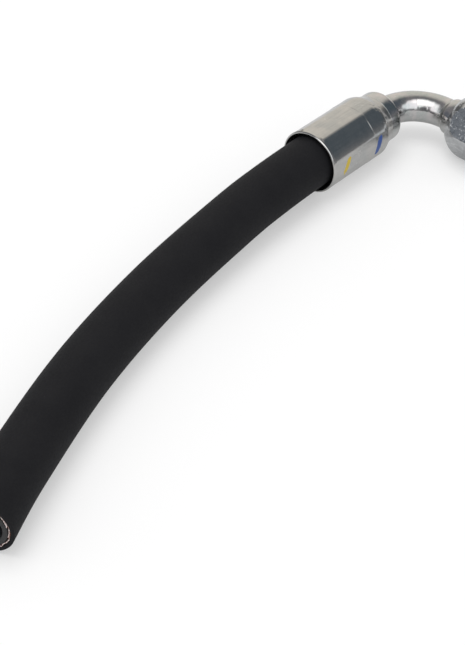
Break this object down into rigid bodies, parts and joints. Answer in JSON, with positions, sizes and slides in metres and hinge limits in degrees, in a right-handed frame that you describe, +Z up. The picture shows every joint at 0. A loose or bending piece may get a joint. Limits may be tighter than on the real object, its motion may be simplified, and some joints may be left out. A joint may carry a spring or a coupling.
{
  "type": "hydraulic hose assembly",
  "caption": "Length of rubber hydraulic hose with one wire braid, crimped into a ferrule on a swept 90 degree elbow with a flat-faced sleeve and a hexagon swivel nut; the far end is cut square.",
  "frame": {"origin": "under the middle of the metal fitting, at the level of the table it lies on", "axes": "+X along the ferrule's axis, away from the hose; the nut opens along -Y; +Z up from the table"},
  "size_m": [0.2981, 0.0698, 0.0263],
  "materials": {
    "cover_rubber": "matte black synthetic rubber with a faint cloth-wrap texture",
    "liner_rubber": "dark grey oil-resistant rubber",
    "braid_wire": "brass-coated high-tensile steel wire",
    "zinc_steel": "zinc-plated steel, satin with small handling scratches",
    "bright_steel": "bright-plated steel, smooth",
    "braze_metal": "plated braze fillet"
  },
  "bodies": {
    "hose_and_elbow": {"inner_tube": "liner_rubber", "wire_braid": "braid_wire", "hose_cover": "cover_rubber", "ferrule": "zinc_steel", "stem": "bright_steel", "stem_braze": "braze_metal", "bent_tube": "bright_steel", "sleeve_braze": "braze_metal", "face_sleeve": "bright_steel"},
    "swivel_nut": {"swivel_nut": "zinc_steel"}
  },
  "joints": [
    {"name": "nut_spin", "type": "hinge", "parent": "hose_and_elbow", "child": "swivel_nut", "pos_m": [0.02708, -0.01878, 0.01317], "axis": [0, -1, 0], "continuous": true}
  ]
}
